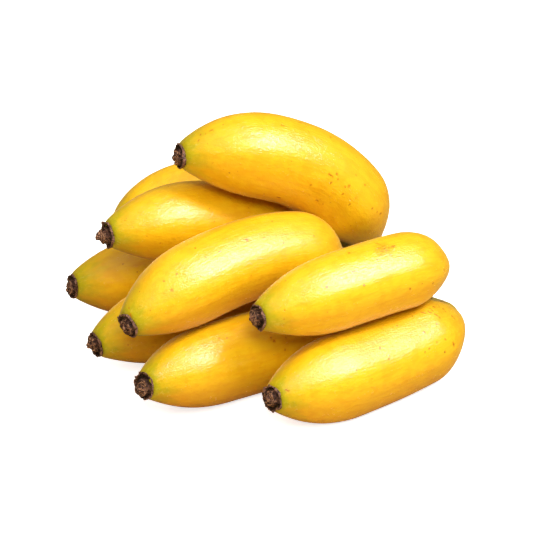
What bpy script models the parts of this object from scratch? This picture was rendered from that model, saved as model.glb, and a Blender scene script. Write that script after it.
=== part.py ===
"""A hand of baby bananas: nine plump fingers that grew from one woody crown, lying on its lower row.

Metres, +Z up. The origin is under the middle of the hand, on the surface that it rests on. The flower
ends point to -X and -Y, and the crown sits among the necks at +X, with its cut face to the back right.
"""

import math
from collections import namedtuple

import bmesh
import bpy
from mathutils import Matrix, Vector
from mathutils.geometry import interpolate_bezier

# The crown: a flattened cushion, cut off flat where the hand was taken from the plant
CROWN_CENTRE = Vector((0.0508, 0.0227, 0.018))
CROWN_WIDTH = 0.038
CROWN_HEIGHT = 0.018
CROWN_CUT_TURN = 40
CROWN_CUT_DEPTH = 0.008
STUB_LENGTH = 0.018
STUB_SPREAD = 1.25
STUB_OVERRUN = 0.004

# The fingers. A finger leaves the crown at a turn about its upright axis, counted from +X, at a reach
# and a rise from the crown's centre. It starts off lifted by an angle, runs straight for a while, passes
# through its belly and ends at its tip.
Finger = namedtuple("Finger", "turn reach rise lift leave belly tip radius")
REACH = 0.029
UPPER_ROW = 0.012
LOWER_ROW = -0.002
FINGERS = {
    "top": Finger(
        193, 0.008, 0.0107, 80, 0.0303, (0.0217, 0.0153, 0.0664), (-0.0313, -0.0047, 0.0832), 0.0166
    ),
    "upper_back": Finger(
        127, 0.0262, 0.015, 69, 0.0153, (-0.005, 0.0586, 0.0405), (-0.0573, 0.0417, 0.0302), 0.0139
    ),
    "upper_left": Finger(
        175, REACH, UPPER_ROW, 30, 0.028, (-0.0132, 0.0137, 0.048), (-0.0584, -0.0158, 0.056), 0.0155
    ),
    "upper_middle": Finger(
        225, REACH, UPPER_ROW, 60, 0.025, (0.0023, -0.0173, 0.049), (-0.0484, -0.0599, 0.0413), 0.0155
    ),
    "upper_right": Finger(
        291, 0.0322, 0.0142, 54, 0.0252, (0.0493, -0.0282, 0.0469), (-0.002, -0.0609, 0.0453), 0.0145
    ),
    "lower_back": Finger(
        154, 0.03, -0.0023, -6, 0.028, (-0.0175, 0.0361, 0.016), (-0.0751, 0.0105, 0.0208), 0.0163
    ),
    "lower_left": Finger(
        193, 0.0288, -0.0034, -8, 0.027, (-0.0163, -0.0013, 0.0167), (-0.063, -0.032, 0.0178), 0.0157
    ),
    "lower_middle": Finger(
        235, REACH, LOWER_ROW, -5, 0.026, (0.0038, -0.0273, 0.015), (-0.0429, -0.065, 0.0195), 0.0155
    ),
    "lower_right": Finger(
        308, 0.0302, -0.0029, 14, 0.0174, (0.0563, -0.0272, 0.0154), (0.0032, -0.0704, 0.0174), 0.0165
    ),
}

# A finger's thickness along its length
NECK_RADIUS = 0.005
NECK_LENGTH = 0.006
SHOULDER_LENGTH = 0.024
SHOULDER_SLOWNESS = 1.2
SHOULDER_FULLNESS = 2.2
TIP_RADIUS = 0.005
TAPER_LENGTH = 0.036
TAPER_FULLNESS = 2.3
FLOWER_END_SEAT = 0.0015
RIDGES = 5
RIDGE_HEIGHT = 0.02
RIDGE_FADE = 0.010

# The dried flower end, as its outline from the seat round the rim to the middle: (radius, height)
FLOWER_OUTLINE = (
    (0.0043, 0.0000),
    (0.0049, 0.0005),
    (0.0049, 0.0012),
    (0.0043, 0.0014),
    (0.0036, 0.0008),
    (0.0029, 0.0010),
    (0.0025, 0.0022),
    (0.0017, 0.0030),
    (0.0009, 0.0033),
)
FLOWER_LOBES = 5
FLOWER_WAVE = 0.07
FLOWER_LEAN = 2
# How fast the lobes turn from one flower end to the next, in radians a metre of distance
FLOWER_VARIETY = 40

# Meshes
SHARP_ANGLE = math.radians(50)
GAP = 0.0003
FINGER_SIDES = 20
FINGER_RINGS = 18
PATH_POINTS = 200
FLOWER_SIDES = 15
STUB_SIDES = 16
CROWN_SIDES = 32
CROWN_RINGS = 16
CROWN_VOXEL = 0.0015
CROWN_SMOOTHING = 8
CROWN_KEPT = 0.16
CUTTER_RADIUS = 0.0075
CUTTER_DEPTH = 0.008


def clear_scene():
    for thing in list(bpy.data.objects):
        bpy.data.objects.remove(thing)


def make_material(name, colour, roughness):
    material = bpy.data.materials.new(name)
    material.use_nodes = True
    shader = material.node_tree.nodes["Principled BSDF"]
    shader.inputs["Base Color"].default_value = (*colour, 1)
    shader.inputs["Roughness"].default_value = roughness
    shader.inputs["Metallic"].default_value = 0
    return material


def add_object(name, bm, material=None):
    """Turns a bmesh into a smooth-shaded object with its normals outwards."""
    bmesh.ops.recalc_face_normals(bm, faces=bm.faces)
    mesh = bpy.data.meshes.new(name)
    bm.to_mesh(mesh)
    bm.free()
    mesh.shade_smooth()
    mesh.set_sharp_from_angle(angle=SHARP_ANGLE)
    if material:
        mesh.materials.append(material)
    thing = bpy.data.objects.new(name, mesh)
    bpy.context.collection.objects.link(thing)
    return thing


def radial(turn):
    return Vector((math.cos(math.radians(turn)), math.sin(math.radians(turn)), 0))


def root_of(finger):
    """Where a finger joins the crown, and the way it sets off."""
    lift = math.radians(finger.lift)
    root = CROWN_CENTRE + finger.reach * radial(finger.turn) + Vector((0, 0, finger.rise))
    return root, math.cos(lift) * radial(finger.turn) + Vector((0, 0, math.sin(lift)))


def path_of(finger):
    """Close points down the middle of a finger, from the crown to its tip."""
    root, outward = root_of(finger)
    neck = root + finger.leave * outward
    belly = Vector(finger.belly)
    tip = Vector(finger.tip)
    # The curve passes through the belly half way along, which settles its third handle
    bend = (8 * belly - root - 3 * neck - tip) / 3
    return interpolate_bezier(root, neck, bend, tip, PATH_POINTS)


def stations_of(path):
    """Ring centres and directions along a path, closer together at both ends, and how far along each is."""
    steps = [(b - a).length for a, b in zip(path, path[1:])]
    length = sum(steps) - FLOWER_END_SEAT
    stations = []
    walked = 0.0
    step = 0
    for ring in range(FINGER_RINGS + 1):
        part = ring / FINGER_RINGS
        part = (part + (1 - math.cos(math.pi * part)) / 2) / 2
        while step < len(steps) - 1 and walked + steps[step] < part * length:
            walked += steps[step]
            step += 1
        along = (part * length - walked) / steps[step]
        centre = path[step].lerp(path[step + 1], along)
        stations.append((centre, (path[step + 1] - path[step]).normalized(), part * length))
    return stations, length


def finger_radius(along, length, radius):
    """A finger is thin at the neck, rounds out over its shoulder and tapers to the flower end."""
    shoulder = min(max((along - NECK_LENGTH) / SHOULDER_LENGTH, 0), 1) ** SHOULDER_SLOWNESS
    from_neck = NECK_RADIUS + (radius - NECK_RADIUS) * (1 - (1 - shoulder) ** SHOULDER_FULLNESS)
    taper = min((length - along) / TAPER_LENGTH, 1)
    from_tip = TIP_RADIUS + (radius - TIP_RADIUS) * (1 - (1 - taper) ** TAPER_FULLNESS)
    return min(from_neck, from_tip)


def skin(bm, rings):
    """Joins rings of points with faces and closes both ends."""
    loops = [[bm.verts.new(point) for point in ring] for ring in rings]
    for near, far in zip(loops, loops[1:]):
        for side in range(len(near)):
            after = (side + 1) % len(near)
            bm.faces.new((near[side], near[after], far[after], far[side]))
    bm.faces.new(reversed(loops[0]))
    bm.faces.new(loops[-1])


def rest_on_floor(bm):
    """Presses a small flat spot where a finger reaches the surface that the hand rests on."""
    if min(vert.co.z for vert in bm.verts) >= 0:
        return
    every = bm.verts[:] + bm.edges[:] + bm.faces[:]
    cut = bmesh.ops.bisect_plane(bm, geom=every, plane_co=(0, 0, 0), plane_no=(0, 0, 1), clear_inner=True)
    rim = [part for part in cut["geom_cut"] if isinstance(part, bmesh.types.BMEdge)]
    bmesh.ops.contextual_create(bm, geom=rim)


def build_finger(name, finger, material):
    """One fruit with its neck, five-sided in section. Gives back the seat of its flower end."""
    stations, length = stations_of(path_of(finger))
    rings = []
    across = Vector((0, 0, 1))
    for centre, direction, along in stations:
        # Each ring's upright is the last one's, turned as little as the bend allows
        across = (across - across.dot(direction) * direction).normalized()
        beside = direction.cross(across)
        radius = finger_radius(along, length, finger.radius)
        ridge = RIDGE_HEIGHT * min(along / RIDGE_FADE, (length - along) / RIDGE_FADE, 1)
        ring = []
        for side in range(FINGER_SIDES):
            angle = 2 * math.pi * side / FINGER_SIDES
            out = radius * (1 + ridge * math.cos(RIDGES * angle))
            ring.append(centre + out * (math.cos(angle) * across + math.sin(angle) * beside))
        rings.append(ring)
    bm = bmesh.new()
    skin(bm, rings)
    rest_on_floor(bm)
    add_object("finger_" + name, bm, material)
    centre, direction, _ = stations[-1]
    return centre, direction


def build_flower_end(name, seat, direction, material):
    """The dried remains of the flower: a corky cup with a wavy rim and a nub in its middle."""
    turn = direction.to_track_quat("Z", "Y").to_matrix().to_4x4()
    place = Matrix.Translation(seat + GAP * direction) @ turn
    phase = FLOWER_VARIETY * (seat.x + seat.y)
    rings = []
    for radius, height in FLOWER_OUTLINE:
        ring = []
        for side in range(FLOWER_SIDES):
            angle = 2 * math.pi * side / FLOWER_SIDES
            wave = FLOWER_WAVE * math.cos(FLOWER_LOBES * angle + phase)
            lean = 1 + FLOWER_LEAN * wave * math.cos(angle - phase)
            out = radius * (1 + wave - FLOWER_WAVE)
            ring.append(place @ Vector((out * math.cos(angle), out * math.sin(angle), height * lean)))
        rings.append(ring)
    bm = bmesh.new()
    skin(bm, rings)
    add_object("flower_end_" + name, bm, material)


def add_stub(bm, finger):
    """A short root of the crown that reaches out to a finger's neck and a little past it."""
    root, outward = root_of(finger)
    middle = root - outward * (STUB_LENGTH - STUB_OVERRUN) / 2
    bmesh.ops.create_cone(
        bm,
        cap_ends=True,
        segments=STUB_SIDES,
        radius1=NECK_RADIUS * STUB_SPREAD,
        radius2=NECK_RADIUS,
        depth=STUB_LENGTH + STUB_OVERRUN,
        matrix=Matrix.Translation(middle) @ outward.to_track_quat("Z", "Y").to_matrix().to_4x4(),
    )


def crown_cutters():
    """Everything past the flat faces of the crown: a disc at each neck and a block at the cut."""
    bm = bmesh.new()
    for finger in FINGERS.values():
        root, outward = root_of(finger)
        middle = root + outward * (CUTTER_DEPTH / 2 - GAP)
        bmesh.ops.create_cone(
            bm,
            cap_ends=True,
            segments=STUB_SIDES,
            radius1=CUTTER_RADIUS,
            radius2=CUTTER_RADIUS,
            depth=CUTTER_DEPTH,
            matrix=Matrix.Translation(middle) @ outward.to_track_quat("Z", "Y").to_matrix().to_4x4(),
        )
    block = CROWN_CENTRE + (CROWN_CUT_DEPTH + CROWN_WIDTH / 2) * radial(CROWN_CUT_TURN)
    turn = Matrix.Rotation(math.radians(CROWN_CUT_TURN), 4, "Z")
    size = Matrix.Diagonal((CROWN_WIDTH, 2 * CROWN_WIDTH, 2 * CROWN_WIDTH, 1))
    bmesh.ops.create_cube(bm, size=1, matrix=Matrix.Translation(block) @ turn @ size)
    return bm


def build_crown(material):
    """The woody cushion that all the necks grow from, with one cut face."""
    bm = bmesh.new()
    size = Matrix.Diagonal((CROWN_WIDTH / 2, CROWN_WIDTH / 2, CROWN_HEIGHT / 2, 1))
    place = Matrix.Translation(CROWN_CENTRE) @ size
    bmesh.ops.create_uvsphere(bm, u_segments=CROWN_SIDES, v_segments=CROWN_RINGS, radius=1, matrix=place)
    for finger in FINGERS.values():
        add_stub(bm, finger)
    crown = add_object("crown", bm, material)
    cutter = add_object("crown_cutter", crown_cutters())
    cutter.hide_render = True
    cutter.display_type = "WIRE"

    blend = crown.modifiers.new("Grow together", "REMESH")
    blend.mode = "VOXEL"
    blend.voxel_size = CROWN_VOXEL
    blend.use_smooth_shade = True
    smooth = crown.modifiers.new("Round the joints", "SMOOTH")
    smooth.iterations = CROWN_SMOOTHING
    fewer = crown.modifiers.new("Fewer faces", "DECIMATE")
    fewer.ratio = CROWN_KEPT
    fewer.use_collapse_triangulate = True
    cut = crown.modifiers.new("Flat faces", "BOOLEAN")
    cut.operation = "DIFFERENCE"
    cut.object = cutter


def main():
    clear_scene()
    peel = make_material("ripe peel", (0.85, 0.52, 0.03), 0.4)
    cork = make_material("dried flower end", (0.05, 0.025, 0.015), 0.8)
    wood = make_material("woody crown", (0.35, 0.26, 0.08), 0.6)
    for name, finger in FINGERS.items():
        seat, direction = build_finger(name, finger, peel)
        build_flower_end(name, seat, direction, cork)
    build_crown(wood)


main()
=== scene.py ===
# %% [markdown]
# # A hand of baby bananas
# Nine short, plump fingers grew from one woody crown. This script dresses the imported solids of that
# hand: it makes fine peels, dried flower ends and a fibrous crown, gives them materials, and sets up a
# small studio with a camera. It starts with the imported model, which stays where it is and says where
# everything goes.

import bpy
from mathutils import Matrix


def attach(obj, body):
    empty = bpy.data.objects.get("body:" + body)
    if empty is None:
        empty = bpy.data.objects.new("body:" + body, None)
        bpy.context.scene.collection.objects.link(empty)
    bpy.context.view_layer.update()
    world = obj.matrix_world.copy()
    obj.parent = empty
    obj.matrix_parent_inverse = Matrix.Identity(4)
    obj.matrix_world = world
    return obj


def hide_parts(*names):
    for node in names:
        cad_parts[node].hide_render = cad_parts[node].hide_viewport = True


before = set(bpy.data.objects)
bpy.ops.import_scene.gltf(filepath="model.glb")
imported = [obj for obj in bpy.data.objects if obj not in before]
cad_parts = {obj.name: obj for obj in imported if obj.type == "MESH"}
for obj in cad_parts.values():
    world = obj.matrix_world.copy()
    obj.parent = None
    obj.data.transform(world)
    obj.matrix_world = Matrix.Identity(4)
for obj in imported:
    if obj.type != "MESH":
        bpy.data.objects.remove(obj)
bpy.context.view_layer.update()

# %% Blender's modules
import math
from collections import namedtuple

import bmesh
import bpy
from mathutils import Matrix, Vector
from mathutils.bvhtree import BVHTree

# %% [markdown]
# ## The camera
# The photograph looks a little down on the pile, from about 27 degrees above the table. A long lens from
# 0.8 m away keeps the near and the far fingers at almost one scale, as it does there.

# %% The camera
PHOTO_SIZE = 533
LOOK_AT = Vector((0.0018, -0.0003, 0.035))
CAMERA_DISTANCE = 0.8
CAMERA_TILT = math.radians(27)
LENS = 140.6
SENSOR = 36

looking = Vector((0, math.cos(CAMERA_TILT), -math.sin(CAMERA_TILT)))
camera = bpy.data.objects.new("camera", bpy.data.cameras.new("camera"))
camera.data.lens = LENS
camera.data.sensor_width = SENSOR
camera.location = LOOK_AT - CAMERA_DISTANCE * looking
camera.rotation_euler = looking.to_track_quat("-Z", "Y").to_euler()
bpy.context.scene.collection.objects.link(camera)
bpy.context.scene.camera = camera
print("camera at", [round(part, 3) for part in camera.location])


# %% [markdown]
# ## Writing node trees as sums
# Shapes and finishes below are node trees. A tree of Math nodes is hard to read, so this small class
# stands for the number that a socket carries: adding, multiplying or comparing two of them places a Math
# node. The same class works in Geometry Nodes and in a material.

# %% Numbers that build Math nodes
def feed(tree, socket, value):
    """Gives a socket its value: a plain number, or a link from a Number or another socket."""
    if isinstance(value, Number):
        value = value.socket
    if isinstance(value, bpy.types.NodeSocket):
        tree.links.new(value, socket)
    elif value is not None:
        socket.default_value = value


def put(tree, kind, *values, **settings):
    """Adds a node with these settings, and feeds its open inputs in their order."""
    node = tree.nodes.new(kind)
    for name, setting in settings.items():
        setattr(node, name, setting)
    open_inputs = [socket for socket in node.inputs if socket.enabled]
    for socket, value in zip(open_inputs, values):
        feed(tree, socket, value)
    return node


def first_open(node):
    """The output that a node uses with its present settings."""
    return next(socket for socket in node.outputs if socket.enabled)


class Number:
    """The number that a socket carries."""

    def __init__(self, tree, socket):
        self.tree = tree
        self.socket = socket

    def work(self, operation, *others, **settings):
        node = put(self.tree, "ShaderNodeMath", self, *others, operation=operation, **settings)
        return Number(self.tree, node.outputs[0])

    def __add__(self, other):
        return self.work("ADD", other)

    def __sub__(self, other):
        return self.work("SUBTRACT", other)

    def __rsub__(self, other):
        return self.work("MULTIPLY_ADD", -1, other)

    def __mul__(self, other):
        return self.work("MULTIPLY", other)

    def __truediv__(self, other):
        return self.work("DIVIDE", other)

    def __rtruediv__(self, other):
        node = put(self.tree, "ShaderNodeMath", other, self, operation="DIVIDE")
        return Number(self.tree, node.outputs[0])

    def __pow__(self, other):
        return self.work("POWER", other)

    def __gt__(self, other):
        return self.work("GREATER_THAN", other)

    __radd__ = __add__
    __rmul__ = __mul__

    def kept(self, low=0, high=1):
        """The number, held between two limits."""
        return self.work("MAXIMUM", low).work("MINIMUM", high)

    def from_to(self, low, high):
        """0 below low, 1 above high and a smooth step between them. It works downwards too."""
        smooth = {"interpolation_type": "SMOOTHSTEP"}
        node = put(self.tree, "ShaderNodeMapRange", self, low, high, 0, 1, **smooth)
        return Number(self.tree, node.outputs[0])


def vector_work(tree, operation, *values):
    """The result of a Vector Math node: a Number for a length or a dot product, or else a socket."""
    node = put(tree, "ShaderNodeVectorMath", *values, operation=operation)
    result = first_open(node)
    return Number(tree, result) if result.type == "VALUE" else result


# %% [markdown]
# A Geometry Nodes tree here has only named inputs for its sizes and one output. Blender stores a
# modifier's inputs under the identifiers of their sockets, so `grow` looks each of them up by its name. It
# then keeps the result as a plain mesh and takes the modifier away.

# %% Trees with named inputs, and the meshes that they grow
def new_tree(name, inputs):
    """A Geometry Nodes tree and its inputs by name. It takes the names of each kind of input."""
    tree = bpy.data.node_groups.new(name, "GeometryNodeTree")
    tree.is_modifier = True
    kinds = {label: kind for kind, labels in inputs.items() for label in labels}
    for label, kind in kinds.items():
        tree.interface.new_socket(name=label, in_out="INPUT", socket_type="NodeSocket" + kind)
    tree.interface.new_socket(name="Geometry", in_out="OUTPUT", socket_type="NodeSocketGeometry")
    given = {}
    for label, socket in zip(kinds, tree.nodes.new("NodeGroupInput").outputs):
        given[label] = Number(tree, socket) if kinds[label] in ("Float", "Int") else socket
    return tree, given


def end_tree(tree, geometry, material):
    """Ends a tree in real geometry with a material."""
    real = put(tree, "GeometryNodeRealizeInstances", geometry)
    painted = put(tree, "GeometryNodeSetMaterial", real.outputs[0], None, material)
    feed(tree, tree.nodes.new("NodeGroupOutput").inputs[0], painted.outputs[0])


def grow(name, tree, **values):
    """Runs a tree with these inputs, and keeps what it makes as a plain mesh object."""
    thing = bpy.data.objects.new(name, bpy.data.meshes.new(name))
    bpy.context.scene.collection.objects.link(thing)
    modifier = thing.modifiers.new(tree.name, "NODES")
    modifier.node_group = tree
    sockets = [item for item in tree.interface.items_tree if item.item_type == "SOCKET"]
    identifiers = {item.name: item.identifier for item in sockets if item.in_out == "INPUT"}
    for label, value in values.items():
        modifier[identifiers[label]] = value
    graph = bpy.context.evaluated_depsgraph_get()
    grown = thing.evaluated_get(graph)
    mesh = bpy.data.meshes.new_from_object(grown, preserve_all_data_layers=True, depsgraph=graph)
    thing.modifiers.clear()
    thing.data = mesh
    mesh.name = name
    # A grid starts with one empty material slot, and the painted faces use the slot after it
    painted = [material for material in mesh.materials if material]
    mesh.materials.clear()
    for material in painted:
        mesh.materials.append(material)
    mesh.polygons.foreach_set("material_index", [0] * len(mesh.polygons))
    return thing


def as_object(name, shape):
    """Makes a bmesh a plain mesh object in the scene."""
    mesh = bpy.data.meshes.new(name)
    shape.to_mesh(mesh)
    shape.free()
    thing = bpy.data.objects.new(name, mesh)
    bpy.context.scene.collection.objects.link(thing)
    return thing


def volume(thing):
    """The volume inside a closed mesh in cubic centimetres. It is negative if the mesh is inside out."""
    shape = bmesh.new()
    shape.from_mesh(thing.data)
    found = shape.calc_volume(signed=True)
    shape.free()
    return found * 1e6


# %% [markdown]
# ## The shape of the hand
# Each finger leaves the crown at a turn about its upright axis, rises or dips as it goes, passes through
# its belly half way along, and ends at its tip. These are the measures that the solids were made from, so
# the fine peels below lie exactly where the solids are.

# %% Measures of the crown and the fingers, in metres and degrees
CROWN_CENTRE = Vector((0.0508, 0.0227, 0.018))
REACH = 0.029
UPPER_ROW = 0.012
LOWER_ROW = -0.002
Finger = namedtuple("Finger", "turn reach rise lift leave belly tip radius")
FINGERS = {
    "top": Finger(
        193, 0.008, 0.0107, 80, 0.0303, (0.0217, 0.0153, 0.0664), (-0.0313, -0.0047, 0.0832), 0.0166
    ),
    "upper_back": Finger(
        127, 0.0262, 0.015, 69, 0.0153, (-0.005, 0.0586, 0.0405), (-0.0573, 0.0417, 0.0302), 0.0139
    ),
    "upper_left": Finger(
        175, REACH, UPPER_ROW, 30, 0.028, (-0.0132, 0.0137, 0.048), (-0.0584, -0.0158, 0.056), 0.0155
    ),
    "upper_middle": Finger(
        225, REACH, UPPER_ROW, 60, 0.025, (0.0023, -0.0173, 0.049), (-0.0484, -0.0599, 0.0413), 0.0155
    ),
    "upper_right": Finger(
        291, 0.0322, 0.0142, 54, 0.0252, (0.0493, -0.0282, 0.0469), (-0.002, -0.0609, 0.0453), 0.0145
    ),
    "lower_back": Finger(
        154, 0.03, -0.0023, -6, 0.028, (-0.0175, 0.0361, 0.016), (-0.0751, 0.0105, 0.0208), 0.0163
    ),
    "lower_left": Finger(
        193, 0.0288, -0.0034, -8, 0.027, (-0.0163, -0.0013, 0.0167), (-0.063, -0.032, 0.0178), 0.0157
    ),
    "lower_middle": Finger(
        235, REACH, LOWER_ROW, -5, 0.026, (0.0038, -0.0273, 0.015), (-0.0429, -0.065, 0.0195), 0.0155
    ),
    "lower_right": Finger(
        308, 0.0302, -0.0029, 14, 0.0174, (0.0563, -0.0272, 0.0154), (0.0032, -0.0704, 0.0174), 0.0165
    ),
}
NECK_RADIUS = 0.005
TIP_RADIUS = 0.005


def radial(turn):
    return Vector((math.cos(math.radians(turn)), math.sin(math.radians(turn)), 0))


def root_of(finger):
    """Where a finger joins the crown, and the way it sets off."""
    lift = math.radians(finger.lift)
    root = CROWN_CENTRE + finger.reach * radial(finger.turn) + Vector((0, 0, finger.rise))
    return root, math.cos(lift) * radial(finger.turn) + Vector((0, 0, math.sin(lift)))


def handles_of(finger):
    """The four control points of the curve down a finger's middle."""
    root, outward = root_of(finger)
    neck = root + finger.leave * outward
    bend = (8 * Vector(finger.belly) - root - 3 * neck - Vector(finger.tip)) / 3
    return root, neck, bend, Vector(finger.tip)


# %% [markdown]
# ## The fingers
# A banana is thin at its neck, rounds out over a shoulder, runs nearly even and then closes in on the
# dried flower end. Five flat sides meet in soft ridges. All of this follows a rule, so one Geometry Nodes
# tree makes every finger: it bends a grid of points round a curve, and works out how far each point
# stands off the curve. It also keeps where each point would be on a straight banana, which the materials
# use for marks that run lengthwise.

# %% The tree of a finger
FINGER_INPUTS = {
    "Vector": ("Root", "Neck", "Bend", "Tip"),
    "Float": (
        "Radius", "Neck radius", "Neck length", "Shoulder length", "Tip radius", "Taper length",
        "Seat", "Ridge height", "Ridge fade", "Unevenness", "Variety",
    ),
    "Int": ("Rings", "Sides"),
    "Material": ("Peel",),
}
CURVE_STEPS = 200
SHOULDER_SLOWNESS = 1.2
SHOULDER_FULLNESS = 2.2
TAPER_FULLNESS = 2.3
MEETING_SOFTNESS = 0.0004
EDGE_LENGTH = 0.0014
EDGE_DEPTH = 0.0008
RIDGES = 5
DENTS_PER_METRE = 55
TABLE_GAP = 0.00005
TURN = 2 * math.pi


def keep_as(tree, geometry, name, kind, value):
    """Stores a value on every point under a name that a material can read."""
    node = tree.nodes.new("GeometryNodeStoreNamedAttribute")
    node.data_type = kind
    feed(tree, node.inputs["Geometry"], geometry)
    feed(tree, node.inputs["Name"], name)
    feed(tree, node.inputs["Value"], value)
    return node.outputs[0]


def seeded_noise(tree, place, seed, scale, detail):
    """Noise that is quite another one for another seed."""
    node = put(tree, "ShaderNodeTexNoise", noise_dimensions="4D")
    for label, value in zip(("Vector", "W", "Scale", "Detail"), (place, seed, scale, detail)):
        feed(tree, node.inputs[label], value)
    return node


def ring_grid(tree, given):
    """A grid to wrap round a line: its mesh, and each point's ring, angle and whether it is inside."""
    across = given["Sides"] + 1
    grid = put(tree, "GeometryNodeMeshGrid", 1, 1, given["Rings"], across).outputs[0]
    index = Number(tree, put(tree, "GeometryNodeInputIndex").outputs[0])
    ring = (index / across).work("FLOOR")
    angle = (index - ring * across) / given["Sides"] * TURN
    # Inside is 0 on the first and last rings, which shrink to a point and close the ends
    inside = (ring > 0.5) * ((given["Rings"] - 1.5) > ring)
    return grid, ring, angle, inside


def finger_tree():
    tree, given = new_tree("Banana finger", FINGER_INPUTS)
    handles = [given[label] for label in ("Root", "Neck", "Bend", "Tip")]
    curve = put(tree, "GeometryNodeCurvePrimitiveBezierSegment", CURVE_STEPS, *handles)
    upright = put(tree, "GeometryNodeSetCurveNormal", curve.outputs[0], mode="Z_UP").outputs[0]
    length = Number(tree, put(tree, "GeometryNodeCurveLength", upright).outputs[0]) - given["Seat"]

    # The rings lie closer together towards both ends, where the finger curves most
    grid, ring, angle, inside = ring_grid(tree, given)
    part = ((ring - 1) / (given["Rings"] - 3)).kept()
    part = (part + (1 - (part * math.pi).work("COSINE")) / 2) / 2
    along = part * length
    spot = put(tree, "GeometryNodeSampleCurve", mode="LENGTH")
    feed(tree, spot.inputs["Curves"], upright)
    feed(tree, spot.inputs["Length"], along)
    beside = spot.outputs["Normal"]
    across = vector_work(tree, "CROSS_PRODUCT", beside, spot.outputs["Tangent"])

    # The radius grows out of the neck and closes in on the tip: the smaller of the two counts
    shoulder = ((along - given["Neck length"]) / given["Shoulder length"]).kept()
    swell = given["Radius"] - given["Neck radius"]
    rounded = 1 - (1 - shoulder**SHOULDER_SLOWNESS) ** SHOULDER_FULLNESS
    from_neck = given["Neck radius"] + swell * rounded
    to_tip = length - along
    taper = (to_tip / given["Taper length"]).kept()
    swell = given["Radius"] - given["Tip radius"]
    from_tip = given["Tip radius"] + swell * (1 - (1 - taper) ** TAPER_FULLNESS)
    radius = from_neck.work("SMOOTH_MIN", from_tip, MEETING_SOFTNESS)
    # The last of the peel turns in towards the flower end
    edge = (to_tip / EDGE_LENGTH).kept()
    radius = radius - EDGE_DEPTH * (1 - (1 - (1 - edge) ** 2).work("SQRT"))

    fade = (along / given["Ridge fade"]).work("MINIMUM", to_tip / given["Ridge fade"]).kept()
    ridge = given["Ridge height"] * fade * (angle * RIDGES).work("COSINE")
    around_x = angle.work("COSINE")
    around_y = angle.work("SINE")

    # Broad, shallow dents, always inwards, so that fingers that touch don't run into each other
    parts = around_x * radius, around_y * radius, along
    straight = put(tree, "ShaderNodeCombineXYZ", *parts).outputs[0]
    noise = seeded_noise(tree, straight, given["Variety"], DENTS_PER_METRE, 1.5)
    dent = given["Unevenness"] * Number(tree, noise.outputs[0]) * fade
    out = (radius * (ridge + 1) - dent) * inside

    up = vector_work(tree, "SCALE", across, around_x * out)
    sideways = vector_work(tree, "SCALE", beside, around_y * out * -1)
    offset = vector_work(tree, "ADD", up, sideways)
    place = vector_work(tree, "ADD", spot.outputs["Position"], offset)
    # Soft fruit flattens a little where it rests, so nothing goes below the table
    place = vector_work(tree, "MAXIMUM", place, (-1, -1, TABLE_GAP))

    kept = keep_as(tree, grid, "straight", "FLOAT_VECTOR", straight)
    kept = keep_as(tree, kept, "to_tip", "FLOAT", to_tip)
    moved = put(tree, "GeometryNodeSetPosition", kept, None, place).outputs[0]
    joined = put(tree, "GeometryNodeMergeByDistance", moved, None, 0.00001).outputs[0]
    smooth = put(tree, "GeometryNodeSetShadeSmooth", joined, None, True).outputs[0]
    end_tree(tree, smooth, given["Peel"])
    return tree


FINGER_TREE = finger_tree()
print("finger tree:", len(FINGER_TREE.nodes), "nodes")

# %% [markdown]
# ## Effects that the finishes share
# A few effects come back in several finishes: fine fibres that run lengthwise, scattered freckles, and
# soft patches. Each is a node group with named inputs, so that a finish sets it by size in metres and
# not by trying out noise scales. A group only gives out a mask or a height: the shader stays in the
# material.

# %% Shader groups
TINY = 0.00001


def new_group(name, numbers):
    """A shader group with a Place input and these numbers. It gives out one number, the Mask."""
    group = bpy.data.node_groups.new(name, "ShaderNodeTree")
    group.interface.new_socket(name="Place", in_out="INPUT", socket_type="NodeSocketVector")
    for label, start in numbers.items():
        socket = group.interface.new_socket(name=label, in_out="INPUT", socket_type="NodeSocketFloat")
        socket.default_value = start
    group.interface.new_socket(name="Mask", in_out="OUTPUT", socket_type="NodeSocketFloat")
    given = group.nodes.new("NodeGroupInput").outputs
    return group, given["Place"], {label: Number(group, given[label]) for label in numbers}


def end_group(group, mask):
    feed(group, group.nodes.new("NodeGroupOutput").inputs["Mask"], mask)
    return group


def effect(tree, group, place, **numbers):
    """Places a group in a material with its own values, and gives its mask."""
    node = tree.nodes.new("ShaderNodeGroup")
    node.node_tree = group
    feed(tree, node.inputs["Place"], place)
    for label, value in numbers.items():
        feed(tree, node.inputs[label], value)
    return Number(tree, node.outputs["Mask"])


def noise_of(tree, place, scale, detail=2.0, roughness=0.5):
    """Smooth noise between 0 and 1, mostly near 0.5."""
    node = put(tree, "ShaderNodeTexNoise")
    feed(tree, node.inputs["Vector"], place)
    feed(tree, node.inputs["Scale"], scale)
    feed(tree, node.inputs["Detail"], detail)
    feed(tree, node.inputs["Roughness"], roughness)
    return Number(tree, node.outputs[0])


def per_metre(size):
    """How many of a size go into a metre. The size may be 0."""
    return 1 / size.work("MAXIMUM", TINY)


def fibres_group():
    """Fine streaks along the third axis. Width is theirs, and Length how far they run."""
    group, place, given = new_group("Fibres", {"Width": 0.0005, "Length": 0.02})
    across, lengthwise = per_metre(given["Width"]), per_metre(given["Length"])
    scale = put(group, "ShaderNodeCombineXYZ", across, across, lengthwise).outputs[0]
    stretched = vector_work(group, "MULTIPLY", place, scale)
    return end_group(group, noise_of(group, stretched, 1, 3, 0.6))


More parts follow.
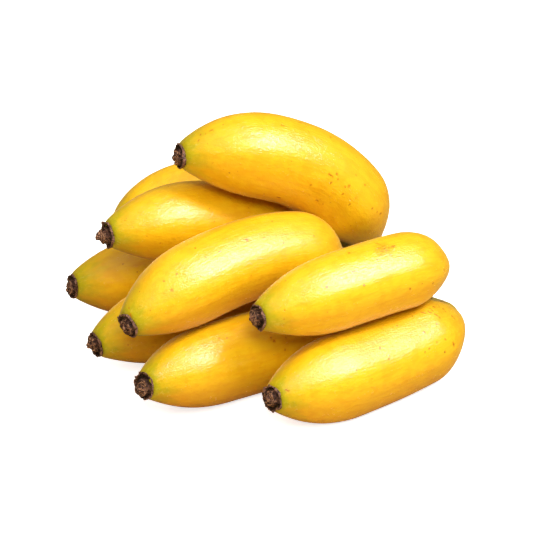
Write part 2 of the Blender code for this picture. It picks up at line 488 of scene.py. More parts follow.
def freckles_group():
    """Small soft dots. A share of the cells that are Spacing apart hold one, of Size or smaller."""
    group, place, given = new_group("Freckles", {"Spacing": 0.004, "Size": 0.0004, "Share": 0.5})
    node = put(group, "ShaderNodeTexVoronoi")
    feed(group, node.inputs["Vector"], place)
    feed(group, node.inputs["Scale"], per_metre(given["Spacing"]))
    distance = Number(group, node.outputs["Distance"]) * given["Spacing"]
    chance = put(group, "ShaderNodeSeparateColor", node.outputs["Color"])
    has_one = given["Share"] > Number(group, chance.outputs[0])
    size = given["Size"] * (Number(group, chance.outputs[1]) * 0.7 + 0.3)
    dot = (1 - distance / size).kept()
    return end_group(group, (dot * 1.8).kept() * has_one)


def patches_group():
    """Soft-edged patches of about Size. Share moves their edge."""
    group, place, given = new_group("Patches", {"Size": 0.01, "Share": 0.5})
    noise = noise_of(group, place, per_metre(given["Size"]), 3, 0.55)
    return end_group(group, (noise - (0.62 - given["Share"] * 0.24)).from_to(-0.08, 0.08))


FIBRES = fibres_group()
FRECKLES = freckles_group()
PATCHES = patches_group()
print("groups:", [group.name for group in (FIBRES, FRECKLES, PATCHES)])

# %% [markdown]
# Colours are written as a screen shows them, because they are judged on a screen. Shaders count in linear
# light, so `srgb` turns one into the other.

# %% Helpers for colours
def linear(value):
    part = value / 255
    return part / 12.92 if part <= 0.04045 else ((part + 0.055) / 1.055) ** 2.4


def srgb(red, green, blue):
    """A colour as a screen shows it, in 0 to 255, as the linear light that shaders use."""
    return linear(red), linear(green), linear(blue), 1


def mix(tree, share, low, high):
    """A colour between low and high."""
    node = put(tree, "ShaderNodeMix", share, low, high, data_type="RGBA")
    return first_open(node)


def attribute(tree, name, vector=False):
    """A value that a mesh keeps on its points."""
    node = put(tree, "ShaderNodeAttribute", attribute_name=name)
    return node.outputs["Vector"] if vector else Number(tree, node.outputs["Fac"])


def new_material(name):
    material = bpy.data.materials.new(name)
    material.use_nodes = True
    tree = material.node_tree
    return material, tree, tree.nodes["Principled BSDF"]


def relief(tree, shader, height, depth):
    """Feeds a height between 0 and 1 to the shader as a bump of that depth in metres."""
    bump = tree.nodes.new("ShaderNodeBump")
    bump.inputs["Distance"].default_value = depth
    feed(tree, bump.inputs["Height"], height)
    feed(tree, shader.inputs["Normal"], bump.outputs[0])


# %% [markdown]
# A few marks are landmarks of this very hand: the bruise on the upper right finger, and freckles that sit
# in loose groups. Each is given by where the photograph shows it, in pixels across and down, and by its
# width in millimetres. A ray from the camera finds the point on the peel, and the material darkens what
# lies within that width of it. A longer mark has a second point, where it ends.

# %% Landmarks on the peels
MARKS = {
    "top": (
        (217, 118, 219, 118, 0.6), (226, 117, 229, 117, 0.5), (223, 125, 224, 125, 0.6),
        (210, 131, 212, 130, 0.5), (200, 135, 201, 134, 0.5), (198, 141, 199, 140, 0.5),
        (205, 134, 0.4), (281, 125, 284, 126, 0.4), (298, 122, 301, 123, 0.4), (337, 174, 1.0),
        (338, 179, 0.6), (331, 183, 0.9), (349, 186, 1.0), (345, 187, 344, 187, 0.7), (343, 194, 0.8),
        (311, 185, 0.7), (277, 197, 280, 198, 0.6), (316, 200, 318, 201, 0.6),
        (323, 204, 324, 204, 0.5), (365, 185, 0.7), (356, 175, 0.5), (373, 208, 372, 209, 0.5),
        (377, 212, 0.6), (381, 213, 380, 214, 0.7), (329, 174, 333, 177, 0.5),
        (349, 205, 350, 204, 0.5), (356, 198, 0.5), (264, 194, 0.5), (386, 221, 0.5), (381, 229, 0.6),
    ),
    "upper_middle": (
        (247, 240, 1.1), (187, 245, 0.6), (195, 248, 0.7), (177, 274, 0.8), (172, 290, 171, 290, 1.0),
        (164, 281, 0.6), (129, 308, 129, 309, 0.6), (130, 314, 131, 316, 0.6), (314, 236, 0.7),
        (221, 251, 219, 252, 0.5), (206, 257, 206, 258, 0.5), (251, 276, 0.5),
    ),
    "upper_right": (
        (378, 260, 0.8), (349, 253, 0.9), (352, 272, 357, 271, 0.6), (344, 277, 0.8),
        (327, 287, 328, 286, 1.0), (364, 285, 0.8), (444, 270, 444, 271, 0.7),
        (433, 283, 432, 284, 0.7), (422, 284, 423, 284, 0.6), (410, 289, 409, 290, 0.8),
        (285, 310, 0.5), (284, 319, 0.5),
    ),
    "lower_right": (
        (434, 307, 0.9), (439, 307, 0.5), (429, 308, 433, 311, 0.4), (435, 314, 440, 318, 0.5),
        (452, 316, 453, 317, 0.8), (454, 318, 455, 319, 0.5), (449, 311, 0.5),
        (446, 312, 445, 311, 0.5), (437, 324, 438, 325, 0.8), (424, 332, 0.9),
        (414, 313, 415, 314, 0.6), (437, 342, 437, 343, 0.7), (453, 343, 454, 345, 0.8),
        (445, 352, 445, 353, 0.8), (429, 349, 430, 348, 0.5), (425, 352, 426, 353, 0.6),
        (380, 348, 0.9), (389, 359, 389, 360, 0.6), (397, 326, 0.6), (443, 309, 444, 309, 0.5),
        (445, 339, 446, 340, 0.5), (286, 390, 289, 391, 0.6), (421, 312, 425, 313, 0.5),
        (428, 311, 431, 313, 0.5),
    ),
    "lower_middle": (
        (219, 338, 0.6), (227, 338, 0.6), (271, 338, 0.7), (274, 341, 275, 341, 0.9), (285, 350, 0.6),
    ),
    "upper_left": ((160, 243, 0.6), (147, 236, 0.5), (214, 222, 0.5)),
    "lower_back": ((123, 264, 0.6), (137, 272, 138, 272, 0.6)),
    "lower_left": ((128, 345, 0.5),),
}
BRUISES = {
    "upper_right": (
        (385, 249, 386, 249, 2.2), (385, 248, 376, 243, 0.9), (386, 249, 391, 256, 1.0),
        (386, 249, 380, 257, 0.8), (387, 248, 395, 246, 0.8), (383, 250, 389, 250, 4.5),
    ),
    "lower_right": ((380, 407, 387, 404, 1.0), (318, 421, 324, 421, 0.8)),
}


def on_photo(across, down):
    """The direction from the camera through a pixel of the photograph."""
    focal = LENS / SENSOR * PHOTO_SIZE
    seen = Vector(((across - PHOTO_SIZE / 2) / focal, (PHOTO_SIZE / 2 - down) / focal, -1))
    return (camera.rotation_euler.to_matrix() @ seen).normalized()


def found_marks(table, name, peel):
    """The landmarks of a finger as (start, end, width) on its peel, without any that the ray misses."""
    places = [vert.co for vert in peel.data.vertices]
    tree = BVHTree.FromPolygons(places, [face.vertices for face in peel.data.polygons])
    found = []
    for *pixels, width in table.get(name, ()):
        start = tree.ray_cast(camera.location, on_photo(*pixels[:2]))[0]
        end = tree.ray_cast(camera.location, on_photo(*pixels[-2:]))[0]
        if start and end:
            found.append((start, end, width / 1000))
    return found


def nearness(tree, place, start, end, width):
    """1 on the line from start to end, and 0 farther off than half the width."""
    offset = vector_work(tree, "SUBTRACT", place, start)
    line = end - start
    if line.length > width / 2:
        share = vector_work(tree, "DOT_PRODUCT", offset, line / line.length_squared).kept()
        nearest = vector_work(tree, "SCALE", tuple(line), share)
        offset = vector_work(tree, "SUBTRACT", offset, nearest)
    return (1 - vector_work(tree, "LENGTH", offset) / (width / 2)).kept()


print("landmarks:", sum(len(marks) for marks in MARKS.values()))


# %% [markdown]
# ## The peel
# Ripe peel is golden with lemon patches, darker towards its underside with painted shade, and still green
# by the flower end, where short pale streaks fan out along the ridges. It carries lengthwise fibres,
# orange-brown freckles and a satin skin with tiny dimples that break up each highlight. A broad, weak coat
# is the glow round a highlight, and a little sheen the bloom at the outline. The layers are mixed in that
# order. Most patterns use the place on a straight banana, so that they follow the bend of each finger.

# %% The finish of a peel
LEMON = srgb(228, 184, 22)
GOLD = srgb(226, 166, 8)
DEEP_GOLD = srgb(214, 146, 0)
# Painted shade: the darker gold that the peel is painted where it faces down
PAINTED_UNDERSIDE_SHADE = srgb(176, 104, 0)
GREEN = srgb(146, 144, 0)
PALE = srgb(226, 200, 92)
FRECKLE = srgb(190, 114, 0)
DARK_FRECKLE = srgb(118, 60, 0)
BRUISE = srgb(146, 82, 6)
NECK_GREEN = srgb(184, 152, 30)
NECK_BROWN = srgb(120, 92, 40)
GLOSS = {
    "Specular IOR Level": 0.8,
    "Coat Weight": 0.5,
    "Coat Roughness": 0.5,
    "Sheen Weight": 0.3,
    "Sheen Roughness": 0.3,
    "Sheen Tint": srgb(255, 216, 160),
}
PEEL_ROUGHNESS = 0.21
PEEL_RELIEF = 0.00021
RAGGEDNESS = 0.0011


def peel_material(name, marks, bruises, ripeness, painted_shade):
    """Peel for one finger. Ripeness 0 is all lemon, 1 all gold. Painted shade is how dark its underside is
    painted.
    """
    material, tree, shader = new_material("peel of " + name)
    place = put(tree, "ShaderNodeTexCoord").outputs["Object"]
    straight = attribute(tree, "straight", vector=True)
    to_tip = attribute(tree, "to_tip")
    from_neck = Number(tree, put(tree, "ShaderNodeSeparateXYZ", straight).outputs[2])
    facing = put(tree, "ShaderNodeTexCoord").outputs["Normal"]
    facing_up = Number(tree, put(tree, "ShaderNodeSeparateXYZ", facing).outputs[2])

    # Lemon and gold drift into each other along the finger, under deeper streaks and blotches
    fibres = effect(tree, FIBRES, straight, Width=0.0014, Length=0.022)
    bands = effect(tree, FIBRES, straight, Width=0.007, Length=0.05)
    cloud = noise_of(tree, straight, 38, 3)
    colour = mix(tree, (bands * 0.9 + cloud * 0.9 - 0.6 + ripeness * 0.5).kept(), LEMON, GOLD)
    patches = effect(tree, PATCHES, straight, Size=0.0045, Share=0.3 + ripeness * 0.2)
    colour = mix(tree, patches * 0.3, colour, DEEP_GOLD)
    colour = mix(tree, fibres.from_to(0.50, 0.66) * 0.35, colour, DEEP_GOLD)
    # Painted shade: the peel is darkened where it faces down, as deeply as each finger sets
    colour = mix(tree, facing_up.from_to(0.1, -0.8) * painted_shade, colour, PAINTED_UNDERSIDE_SHADE)

    # Green by the flower end, in uneven streaks, with pale fibres that fan out of it
    reach = to_tip + (bands - 0.5) * 0.024 + (cloud - 0.5) * 0.008
    colour = mix(tree, reach.from_to(0.013, 0.001) * 0.6, colour, GREEN)
    colour = mix(tree, reach.from_to(0.0045, -0.0005) * 0.6, colour, GREEN)
    fan = effect(tree, FIBRES, straight, Width=0.0009, Length=0.012).from_to(0.56, 0.68)
    colour = mix(tree, fan * reach.from_to(0.008, 0.002) * 0.2, colour, PALE)

    # By the crown the peel turns greenish and then woody
    greenish = (from_neck + (cloud - 0.5) * 0.01).from_to(0.014, 0.005)
    woody = (from_neck + (fibres - 0.5) * 0.006).from_to(0.006, 0.0)
    colour = mix(tree, woody, mix(tree, greenish, colour, NECK_GREEN), NECK_BROWN)

    # Scattered freckles, short dashes lengthwise, and then the landmarks, all with ragged edges
    stir = put(tree, "ShaderNodeTexNoise", place, 1500, 2).outputs[1]
    stir = vector_work(tree, "SUBTRACT", stir, (0.5, 0.5, 0.5))
    wobble = vector_work(tree, "SCALE", stir, RAGGEDNESS)
    rough_place = vector_work(tree, "ADD", place, wobble)
    rough_straight = vector_work(tree, "ADD", straight, wobble)
    small = effect(tree, FRECKLES, rough_straight, Spacing=0.0046, Size=0.0006, Share=0.6)
    groups = cloud.from_to(0.48, 0.60)
    tiny = effect(tree, FRECKLES, rough_straight, Spacing=0.0021, Size=0.0004, Share=0.5) * groups
    pressed = vector_work(tree, "MULTIPLY", rough_straight, (1, 1, 0.3))
    dashes = effect(tree, FRECKLES, pressed, Spacing=0.0019, Size=0.00034, Share=0.5)
    dashes = dashes * noise_of(tree, straight, 70, 2).from_to(0.52, 0.62)
    dots = (small * 0.75).work("MAXIMUM", tiny * 0.6).work("MAXIMUM", dashes * 0.55)
    for start, end, width in marks:
        dots = dots.work("MAXIMUM", nearness(tree, rough_place, start, end, width * 2))
    colour = mix(tree, dots.from_to(0.0, 0.7) * 0.75, colour, FRECKLE)
    colour = mix(tree, dots.from_to(0.55, 1.0) * 0.7, colour, DARK_FRECKLE)
    if bruises:
        # A bruise is a soft smudge that fine cracks break up
        cracks = noise_of(tree, rough_place, 1100, 3, 0.7).from_to(0.42, 0.66)
        smudge = 0
        for start, end, width in bruises:
            smudge = nearness(tree, rough_place, start, end, width * 2).work("MAXIMUM", smudge)
        colour = mix(tree, smudge * 0.25 + smudge * cracks * 0.75, colour, BRUISE)
    feed(tree, shader.inputs["Base Color"], colour)

    # Dimples, as on a very fine orange skin, and longer waves break up the highlights
    dimples = effect(tree, FIBRES, straight, Width=0.0007, Length=0.0014)
    waves = effect(tree, FIBRES, straight, Width=0.0028, Length=0.008)
    roughness = (dimples - 0.5) * 0.3 + (waves - 0.5) * 0.2 + PEEL_ROUGHNESS
    feed(tree, shader.inputs["Roughness"], roughness)
    for label, value in GLOSS.items():
        shader.inputs[label].default_value = value
    relief(tree, shader, dimples + fibres * 0.25 + waves * 1.3, PEEL_RELIEF)
    return material


# %% [markdown]
# ## Growing the nine fingers
# Every finger has its own measures, its own seed for the shallow dents, its own ripeness and its own depth
# of painted shade on its underside. The mesh is grown first, because the landmarks are found on it, and
# then it gets its peel.

# %% The fingers
# The second number of each finger is how dark the painted shade on its underside is
RIPENESS_AND_PAINTED_SHADE = {
    "top": (0.62, 0.0),
    "upper_back": (0.5, 0.7),
    "upper_left": (0.62, 0.7),
    "upper_middle": (0.42, 0.9),
    "upper_right": (0.15, 0.3),
    "lower_back": (0.7, 0.9),
    "lower_left": (0.6, 0.7),
    "lower_middle": (0.55, 0.7),
    "lower_right": (0.18, 0.3),
}
FINGER_SIZES = {
    "Neck radius": NECK_RADIUS,
    "Neck length": 0.006,
    "Shoulder length": 0.024,
    "Tip radius": TIP_RADIUS,
    "Taper length": 0.036,
    "Seat": 0.0015,
    "Ridge height": 0.02,
    "Ridge fade": 0.010,
    "Unevenness": 0.0004,
    "Rings": 163,
    "Sides": 96,
}
blank = bpy.data.materials.new("blank peel")
peels = {}
for number, (name, finger) in enumerate(FINGERS.items()):
    root, neck, bend, tip = handles_of(finger)
    curve = {"Root": root, "Neck": neck, "Bend": bend, "Tip": tip}
    own = {"Radius": finger.radius, "Variety": 3.7 * number, "Peel": blank}
    peel = grow("peel_" + name, FINGER_TREE, **curve, **own, **FINGER_SIZES)
    marks, bruises = found_marks(MARKS, name, peel), found_marks(BRUISES, name, peel)
    own_look = RIPENESS_AND_PAINTED_SHADE[name]
    peel.data.materials[0] = peel_material(name, marks, bruises, *own_look)
    peels[name] = peel
    print(peel.name, len(peel.data.polygons), "faces", round(volume(peel), 1), "cubic cm")


# %% [markdown]
# ## The dried flower ends
# What is left of each flower is a small corky cup: a rim that curls and cracks, rings that step down into
# it, and a nub where the style stood. The outline below runs from the peel over the rim to the middle of
# the nub. The tree turns it round an axis, as on a lathe, and then pushes it about: five lobes from the
# petals that fell off, and dry lumps from noise.

# %% The outline of a flower end, as (distance from its axis, height), in metres
FLOWER_OUTLINE = (
    (0.0037, -0.0012), (0.0042, -0.0005), (0.0045, 0.0001), (0.0048, 0.0004), (0.0049, 0.0008),
    (0.00475, 0.0011), (0.0045, 0.00105), (0.0042, 0.0006), (0.0039, 0.0002), (0.0035, 0.0001),
    (0.0032, 0.0004), (0.0030, 0.0009), (0.0028, 0.0016), (0.0025, 0.0020), (0.0021, 0.0022),
    (0.0017, 0.0019), (0.0014, 0.0020), (0.0011, 0.0026), (0.0007, 0.0030), (0.0003, 0.0031),
    (0.0, 0.0031),
)
FLOWER_INPUTS = {
    "Object": ("Outline",),
    "Vector": ("Seat", "Direction"),
    "Float": ("Lobe depth", "Lumps", "Lean", "Nub offset", "Nub length", "Pleats", "Variety"),
    "Int": ("Lobes", "Rings", "Sides"),
    "Material": ("Cork",),
}
RIM_RADIUS = 0.005
COARSE_LUMPS = 480
FINE_LUMPS = 1700


def outline_curve():
    """The outline as a curve object in the XZ plane, which the tree reads and no render shows."""
    data = bpy.data.curves.new("flower_outline", "CURVE")
    data.dimensions = "3D"
    line = data.splines.new("POLY")
    line.points.add(len(FLOWER_OUTLINE) - 1)
    for point, (radius, height) in zip(line.points, FLOWER_OUTLINE):
        point.co = (radius, 0, height, 1)
    return bpy.data.objects.new("flower_outline", data)


def flower_tree():
    tree, given = new_tree("Dried flower end", FLOWER_INPUTS)
    outline = put(tree, "GeometryNodeObjectInfo", given["Outline"]).outputs["Geometry"]
    grid, ring, angle, inside = ring_grid(tree, given)
    spot = put(tree, "GeometryNodeSampleCurve", mode="FACTOR")
    feed(tree, spot.inputs["Curves"], outline)
    feed(tree, spot.inputs["Factor"], ((ring - 1) / (given["Rings"] - 2)).kept())
    parts = put(tree, "ShaderNodeSeparateXYZ", spot.outputs["Position"])
    radius = Number(tree, parts.outputs[0])
    height = Number(tree, parts.outputs[2])

    # The lobes, strongest at the rim, and a lean that makes one side stand higher
    away = radius / RIM_RADIUS
    wave = (angle * given["Lobes"] + given["Variety"] * 9).work("COSINE")
    tilt = (angle + given["Variety"] * 5).work("COSINE")
    radius = radius * (wave * given["Lobe depth"] * away + 1)
    height = height * (tilt * given["Lean"] * away + wave * given["Lobe depth"] + 1)
    around_x = angle.work("COSINE")
    around_y = angle.work("SINE")

    # Pleats that run from the rim to the nub, and a nub that stands beside the axis
    drum = put(tree, "ShaderNodeCombineXYZ", around_x, around_y, height * 90).outputs[0]
    fold = seeded_noise(tree, drum, given["Variety"] * 3, 2.6, 2)
    pleat = (Number(tree, fold.outputs[0]) - 0.5) * 2 * given["Pleats"]
    pleat = pleat * height.from_to(0.0, 0.0008)
    radius = radius * (pleat + 1)
    height = height * (pleat * 1.5 + 1) + given["Nub length"] * radius.from_to(0.0034, 0.0010)
    aside = given["Nub offset"] * radius.from_to(0.0042, 0.0022)
    middle_x = aside * (given["Variety"] * 7).work("COSINE")
    middle_y = aside * (given["Variety"] * 7).work("SINE")
    parts = around_x * radius + middle_x, around_y * radius + middle_y, height
    local = put(tree, "ShaderNodeCombineXYZ", *parts).outputs[0]

    # Dry lumps: coarse ones, and fine ones that crack the rim
    def lumps(scale, size):
        noise = seeded_noise(tree, local, given["Variety"], scale, 2)
        centred = vector_work(tree, "SUBTRACT", noise.outputs[1], (0.5, 0.5, 0.5))
        return vector_work(tree, "SCALE", centred, given["Lumps"] * size)

    rough = vector_work(tree, "ADD", lumps(COARSE_LUMPS, 2.4), lumps(FINE_LUMPS, 0.8))
    # Only what stands off the peel is rough, so that the seat stays closed
    off_peel = height.from_to(-0.0006, 0.0006)
    rough = vector_work(tree, "SCALE", rough, off_peel)
    shaped = vector_work(tree, "ADD", local, vector_work(tree, "SCALE", rough, inside))
    on_axis = put(tree, "ShaderNodeCombineXYZ", middle_x, middle_y, height).outputs[0]
    shaped = put(tree, "ShaderNodeMix", inside, on_axis, shaped, data_type="VECTOR")
    shaped = put(tree, "ShaderNodeSeparateXYZ", first_open(shaped))

    # Stand the lathe's axis on the direction of the finger
    level = vector_work(tree, "CROSS_PRODUCT", given["Direction"], (0, 0, 1))
    beside = vector_work(tree, "NORMALIZE", level)
    across = vector_work(tree, "CROSS_PRODUCT", beside, given["Direction"])
    place = given["Seat"]
    for axis, amount in zip((across, beside, given["Direction"]), shaped.outputs):
        place = vector_work(tree, "ADD", place, vector_work(tree, "SCALE", axis, amount))

    kept = keep_as(tree, grid, "local", "FLOAT_VECTOR", local)
    kept = keep_as(tree, kept, "off_axis", "FLOAT", radius)
    moved = put(tree, "GeometryNodeSetPosition", kept, None, place).outputs[0]
    joined = put(tree, "GeometryNodeMergeByDistance", moved, None, 0.000002).outputs[0]
    smooth = put(tree, "GeometryNodeSetShadeSmooth", joined, None, True).outputs[0]
    end_tree(tree, smooth, given["Cork"])
    return tree


FLOWER_TREE = flower_tree()
print("flower end tree:", len(FLOWER_TREE.nodes), "nodes")


# %% [markdown]
# The cork is chocolate brown, and fine rings and cracks run through it. Where the thin rim curls over, its
# crest is painted a pinkish tan, which is a painted highlight. The hollow inside the rim is painted near
# black, which is painted shade. The tree keeps how far each point is from the axis, which tells the nub,
# the hollow and the rim apart.

# %% The finish of the flower ends
CORK_DARK = srgb(30, 17, 13)
CORK_BROWN = srgb(92, 60, 46)
# Pale strands: partly the colour of dry fibre, partly painted highlight
PALE_STRAND_AND_HIGHLIGHT = srgb(196, 142, 104)
# Painted shade for the hollow inside the rim
PAINTED_HOLLOW_SHADE = srgb(16, 9, 7)
# Painted highlight for the crest of the rim
RIM_HIGHLIGHT = srgb(150, 108, 88)
RING_SPACING = 0.0008


def cork_material():
    material, tree, shader = new_material("dried flower end")
    local = attribute(tree, "local", vector=True)
    height = Number(tree, put(tree, "ShaderNodeSeparateXYZ", local).outputs[2])
    radius = attribute(tree, "off_axis")
    lumps = noise_of(tree, local, 900, 4, 0.6)
    grit = noise_of(tree, local, 3500, 3, 0.7)
    colour = mix(tree, lumps.from_to(0.4, 0.62), CORK_DARK, CORK_BROWN)
    # Strands: thin pale lines where a noise crosses its middle, on the edges of folds. They are partly
    # pale fibre and partly painted highlight on the fold crests
    threads = noise_of(tree, local, 620, 2, 0.5)
    strands_and_highlights = (threads - 0.5).work("ABSOLUTE").from_to(0.04, 0.008) * grit.from_to(0.35, 0.55)
    # Rings on the end of the nub, where the style broke off
    rings = (radius * (TURN / RING_SPACING) + lumps * 4).work("SINE").from_to(0.35, 0.9)
    rings = rings * radius.from_to(0.0029, 0.0023)
    strands_and_highlights = strands_and_highlights.work("MAXIMUM", rings * grit.from_to(0.3, 0.55))
    colour = mix(tree, strands_and_highlights * 0.85, colour, PALE_STRAND_AND_HIGHLIGHT)
    # Painted shade: the ring-shaped hollow inside the rim is darkened nearly to black
    hollow_shade = (radius - 0.0037).work("ABSOLUTE").from_to(0.0009, 0.0002)
    hollow_shade = hollow_shade * height.from_to(0.0014, 0.0007)
    colour = mix(tree, hollow_shade * 0.85, colour, PAINTED_HOLLOW_SHADE)
    # Painted highlight: the crest of the rim is painted a pale pinkish tan, broken up by the lumps
    rim_highlight = radius.from_to(0.0043, 0.0047) * (lumps + grit).from_to(0.9, 1.12)
    colour = mix(tree, rim_highlight * 0.8, colour, RIM_HIGHLIGHT)
    feed(tree, shader.inputs["Base Color"], colour)
    feed(tree, shader.inputs["Roughness"], grit * 0.4 + 0.4)
    relief(tree, shader, lumps + grit * 0.5 + strands_and_highlights * 0.5, 0.0003)
    return material


cork = cork_material()
outline = outline_curve()
bpy.context.scene.collection.objects.link(outline)

# %% [markdown]
# Each flower end looks along its own finger and has its own seed. A few also have their own lean of the
# rim, and a nub that stands farther aside or out, as in the photograph.

# %% The flower ends
FLOWER_SIZES = {
    "Lobes": 5,
    "Lobe depth": 0.03,
    "Lumps": 0.0009,
    "Pleats": 0.22,
    "Lean": 0.2,
    "Nub offset": 0.0008,
    "Nub length": 0.0002,
    "Rings": 84,
    "Sides": 104,
}
OWN_SIZES = {
    "upper_left": {"Nub offset": 0.0012, "Nub length": 0.0015},
    "lower_middle": {"Lean": 0.5},
    "lower_right": {"Lean": 0.1, "Nub offset": 0.0003},
}
ends = {}
for number, (name, finger) in enumerate(FINGERS.items()):
    bend, tip = handles_of(finger)[2:]
    direction = (tip - bend).normalized()
    seat = tip - FINGER_SIZES["Seat"] * direction
    own = {"Outline": outline, "Seat": seat, "Direction": direction, "Cork": cork}
    own.update({"Variety": 1.3 * number + 0.4, **FLOWER_SIZES, **OWN_SIZES.get(name, {})})
    end = grow("dried_flower_" + name, FLOWER_TREE, **own)
    ends[name] = end
    print(end.name, len(end.data.polygons), "faces", round(volume(end), 3), "cubic cm")
bpy.data.objects.remove(outline)
bpy.data.materials.remove(blank)


# %% [markdown]
# ## The crown
# The crown is the woody cushion that the whole hand grew from, with a short stub to each neck and one
# flat face where it was cut. A cushion and nine cones are melted together with a voxel remesh, smoothed
# and cut by a block. That rounds the joints as growth does, which joined cones alone would not.

# %% The mesh of the crown
CROWN_WIDTH = 0.038
CROWN_HEIGHT = 0.018
CROWN_CUT_TURN = 40
CROWN_CUT_DEPTH = 0.008
STUB_LENGTH = 0.018
STUB_WIDENING = 1.25
STUB_SLACK = 1.03
STUB_OVERLAP = 0.0012
MELT_SIZE = 0.0006


def build_crown():
    shape = bmesh.new()
    size = Matrix.Diagonal((CROWN_WIDTH / 2, CROWN_WIDTH / 2, CROWN_HEIGHT / 2, 1))
    place = Matrix.Translation(CROWN_CENTRE) @ size
    bmesh.ops.create_uvsphere(shape, u_segments=64, v_segments=32, radius=1, matrix=place)
    for finger in FINGERS.values():
        root, outward = root_of(finger)
        turn = outward.to_track_quat("Z", "Y").to_matrix().to_4x4()
        middle = root - outward * (STUB_LENGTH - STUB_OVERLAP) / 2
        bmesh.ops.create_cone(
            shape,
            cap_ends=True,
            segments=48,
            radius1=NECK_RADIUS * STUB_WIDENING,
            radius2=NECK_RADIUS * STUB_SLACK,
            depth=STUB_LENGTH + STUB_OVERLAP,
            matrix=Matrix.Translation(middle) @ turn,
        )
    return as_object("woody_crown", shape)


def cut_block():
    """A block past the cut face."""
    shape = bmesh.new()
    middle = CROWN_CENTRE + (CROWN_CUT_DEPTH + CROWN_WIDTH / 2) * radial(CROWN_CUT_TURN)
    turn = Matrix.Rotation(math.radians(CROWN_CUT_TURN), 4, "Z")
    size = Matrix.Diagonal((CROWN_WIDTH, 2 * CROWN_WIDTH, 2 * CROWN_WIDTH, 1))
    bmesh.ops.create_cube(shape, size=1, matrix=Matrix.Translation(middle) @ turn @ size)
    return as_object("cut_block", shape)


crown = build_crown()
block = cut_block()
melt = crown.modifiers.new("Melt together", "REMESH")
melt.mode = "VOXEL"
melt.voxel_size = MELT_SIZE
melt.use_smooth_shade = True
soften = crown.modifiers.new("Round the joints", "SMOOTH")
soften.iterations = 24
slice_off = crown.modifiers.new("Cut face", "BOOLEAN")
slice_off.operation = "DIFFERENCE"
slice_off.object = block
graph = bpy.context.evaluated_depsgraph_get()
mesh = bpy.data.meshes.new_from_object(crown.evaluated_get(graph), depsgraph=graph)
crown.modifiers.clear()
crown.data = mesh
bpy.data.objects.remove(block)
print("crown:", len(mesh.polygons), "faces", round(volume(crown), 1), "cubic cm")


# %% [markdown]
# The crown is yellowish green-brown stem tissue that has dried, with fibres that run out to the necks.
# The cut face is darker, with the ends of its fibre bundles as pale dots.

# %% The finish of the crown
STEM_GREEN = srgb(158, 146, 62)
STEM_BROWN = srgb(112, 84, 40)
STEM_FIBRE = srgb(72, 50, 28)
CUT_DARK = srgb(78, 56, 36)
CUT_LIGHT = srgb(118, 88, 58)
BUNDLE = srgb(176, 146, 104)


def crown_material():
    material, tree, shader = new_material("woody crown")
    place = put(tree, "ShaderNodeTexCoord").outputs["Object"]
    offset = vector_work(tree, "SUBTRACT", place, tuple(CROWN_CENTRE))
    towards_cut = vector_work(tree, "DOT_PRODUCT", offset, tuple(radial(CROWN_CUT_TURN)))
    fibres = noise_of(tree, vector_work(tree, "MULTIPLY", offset, (1, 1, 3)), 420, 4, 0.65)
    cloud = noise_of(tree, offset, 110, 3)
    grit = noise_of(tree, offset, 2600, 3, 0.7)
    colour = mix(tree, (cloud * 0.9 + fibres * 0.5 - 0.2).kept(), STEM_GREEN, STEM_BROWN)
    colour = mix(tree, fibres.from_to(0.52, 0.7) * 0.6, colour, STEM_FIBRE)
    face = (towards_cut - CROWN_CUT_DEPTH).from_to(-0.0006, -0.0001)
    bundles = effect(tree, FRECKLES, offset, Spacing=0.0014, Size=0.0006, Share=0.8)
    inside = mix(tree, cloud.from_to(0.35, 0.65), CUT_DARK, CUT_LIGHT)
    inside = mix(tree, bundles * 0.7, inside, BUNDLE)
    colour = mix(tree, face, colour, inside)
    feed(tree, shader.inputs["Base Color"], colour)
    feed(tree, shader.inputs["Roughness"], grit * 0.3 + 0.5)
    relief(tree, shader, fibres + grit * 0.4 + bundles * face * 0.5, 0.0005)
    return material


crown.data.materials.append(crown_material())
crown.data.shade_smooth()
crown.data.set_sharp_from_angle(angle=math.radians(50))
print("crown material:", crown.data.materials[0].name)

# %% [markdown]
# ## Joining the pieces to the model
# Each piece rides on a body, and the solid that it stands for is hidden. Nothing moves on a hand of
# bananas, so there is one body.

# %% Pieces and solids
for name, peel in peels.items():
    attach(peel, "root")
    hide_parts("finger_" + name)
for name, end in ends.items():
    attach(end, "root")
    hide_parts("flower_end_" + name)
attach(crown, "root")
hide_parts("crown")
print("pieces:", len(peels) + len(ends) + 1)

# %% [markdown]
# ## The studio
# The hand lies on a plain white surface in even, bright light. A long, narrow key light from the upper
# right draws the highlight on each finger. Three fill lights, from above, in front and behind, only
# brighten the peel: they leave no highlight of their own. A white surrounding fills the shadows, as the
# walls of a light tent do.

# %% The floor and the lights
HAND_MIDDLE = Vector((0, 0, 0.03))
CARD_DARK = srgb(206, 178, 120)
CARD_LIGHT = srgb(212, 184, 126)
CARD_MIRRORED = srgb(120, 84, 30)
CARD_SEEN = srgb(244, 240, 230)
FLOOR_SIZE = 3


def soft_light(name, place, size, power, along=(1, 0, 0), shines=True):
    """A rectangle of light, aimed at the hand, with its long side along a direction."""
    data = bpy.data.lights.new(name, "AREA")
    data.shape = "RECTANGLE"
    data.size, data.size_y = size
    data.energy = power
    light = bpy.data.objects.new(name, data)
    light.location = place
    back = (Vector(place) - HAND_MIDDLE).normalized()
    up = back.cross(Vector(along)).normalized()
    light.rotation_euler = Matrix((up.cross(back), up, back)).transposed().to_euler()
    light.visible_glossy = shines
    bpy.context.scene.collection.objects.link(light)


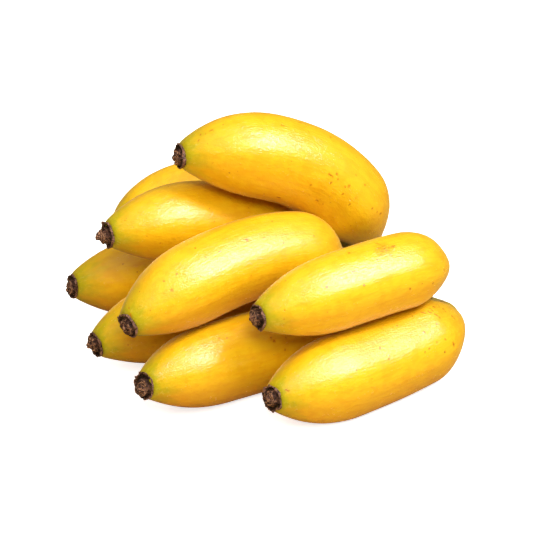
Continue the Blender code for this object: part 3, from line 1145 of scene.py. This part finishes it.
def floor_material():
    """Buff card to the fruit above it, and for the camera a white table that is lit from behind."""
    material, tree, shader = new_material("white table")
    place = put(tree, "ShaderNodeTexCoord").outputs["Object"]
    path = put(tree, "ShaderNodeLightPath").outputs
    seen, mirrored = Number(tree, path["Is Camera Ray"]), Number(tree, path["Is Glossy Ray"])
    tooth = noise_of(tree, place, 900, 3)
    card = mix(tree, mirrored, mix(tree, tooth, CARD_DARK, CARD_LIGHT), CARD_MIRRORED)
    feed(tree, shader.inputs["Base Color"], mix(tree, seen, card, CARD_SEEN))
    shader.inputs["Roughness"].default_value = 0.9
    shader.inputs["Specular IOR Level"].default_value = 0.1
    shader.inputs["Emission Color"].default_value = (1, 1, 1, 1)
    feed(tree, shader.inputs["Emission Strength"], seen * 0.68 + 0.07 - mirrored * 0.07)
    return material


shape = bmesh.new()
bmesh.ops.create_grid(shape, x_segments=1, y_segments=1, size=FLOOR_SIZE)
floor = as_object("floor", shape)
floor.data.materials.append(floor_material())

soft_light("key light", (0.51, -0.19, 0.77), (0.6, 0.17), 7.6, along=(0.5, 0.4, -0.37))
soft_light("overhead light", (-0.1, -0.2, 1.1), (1.1, 1.1), 7, shines=False)
soft_light("front fill light", (0.05, -0.75, 0.68), (0.3, 0.3), 7.2, shines=False)
soft_light("back fill light", (-0.25, 0.85, 0.5), (0.6, 0.6), 3.5, shines=False)

# %% [markdown]
# The surrounding is dim in reflections. The fruit's dark yellow stays pure there, where a bright one
# would lay a pale veil over it. The Standard view keeps yellow as strong as a camera does.

# %% The surrounding
SURROUND = 0.18
SURROUND_MIRRORED = 0.04
world = bpy.data.worlds.new("light tent")
bpy.context.scene.world = world
world.use_nodes = True
tree = world.node_tree
background = tree.nodes["Background"]
background.inputs["Color"].default_value = (1, 1, 1, 1)
mirrored = Number(tree, put(tree, "ShaderNodeLightPath").outputs["Is Glossy Ray"])
strength = mirrored * (SURROUND_MIRRORED - SURROUND) + SURROUND
feed(tree, background.inputs["Strength"], strength)
bpy.context.scene.view_settings.view_transform = "Standard"
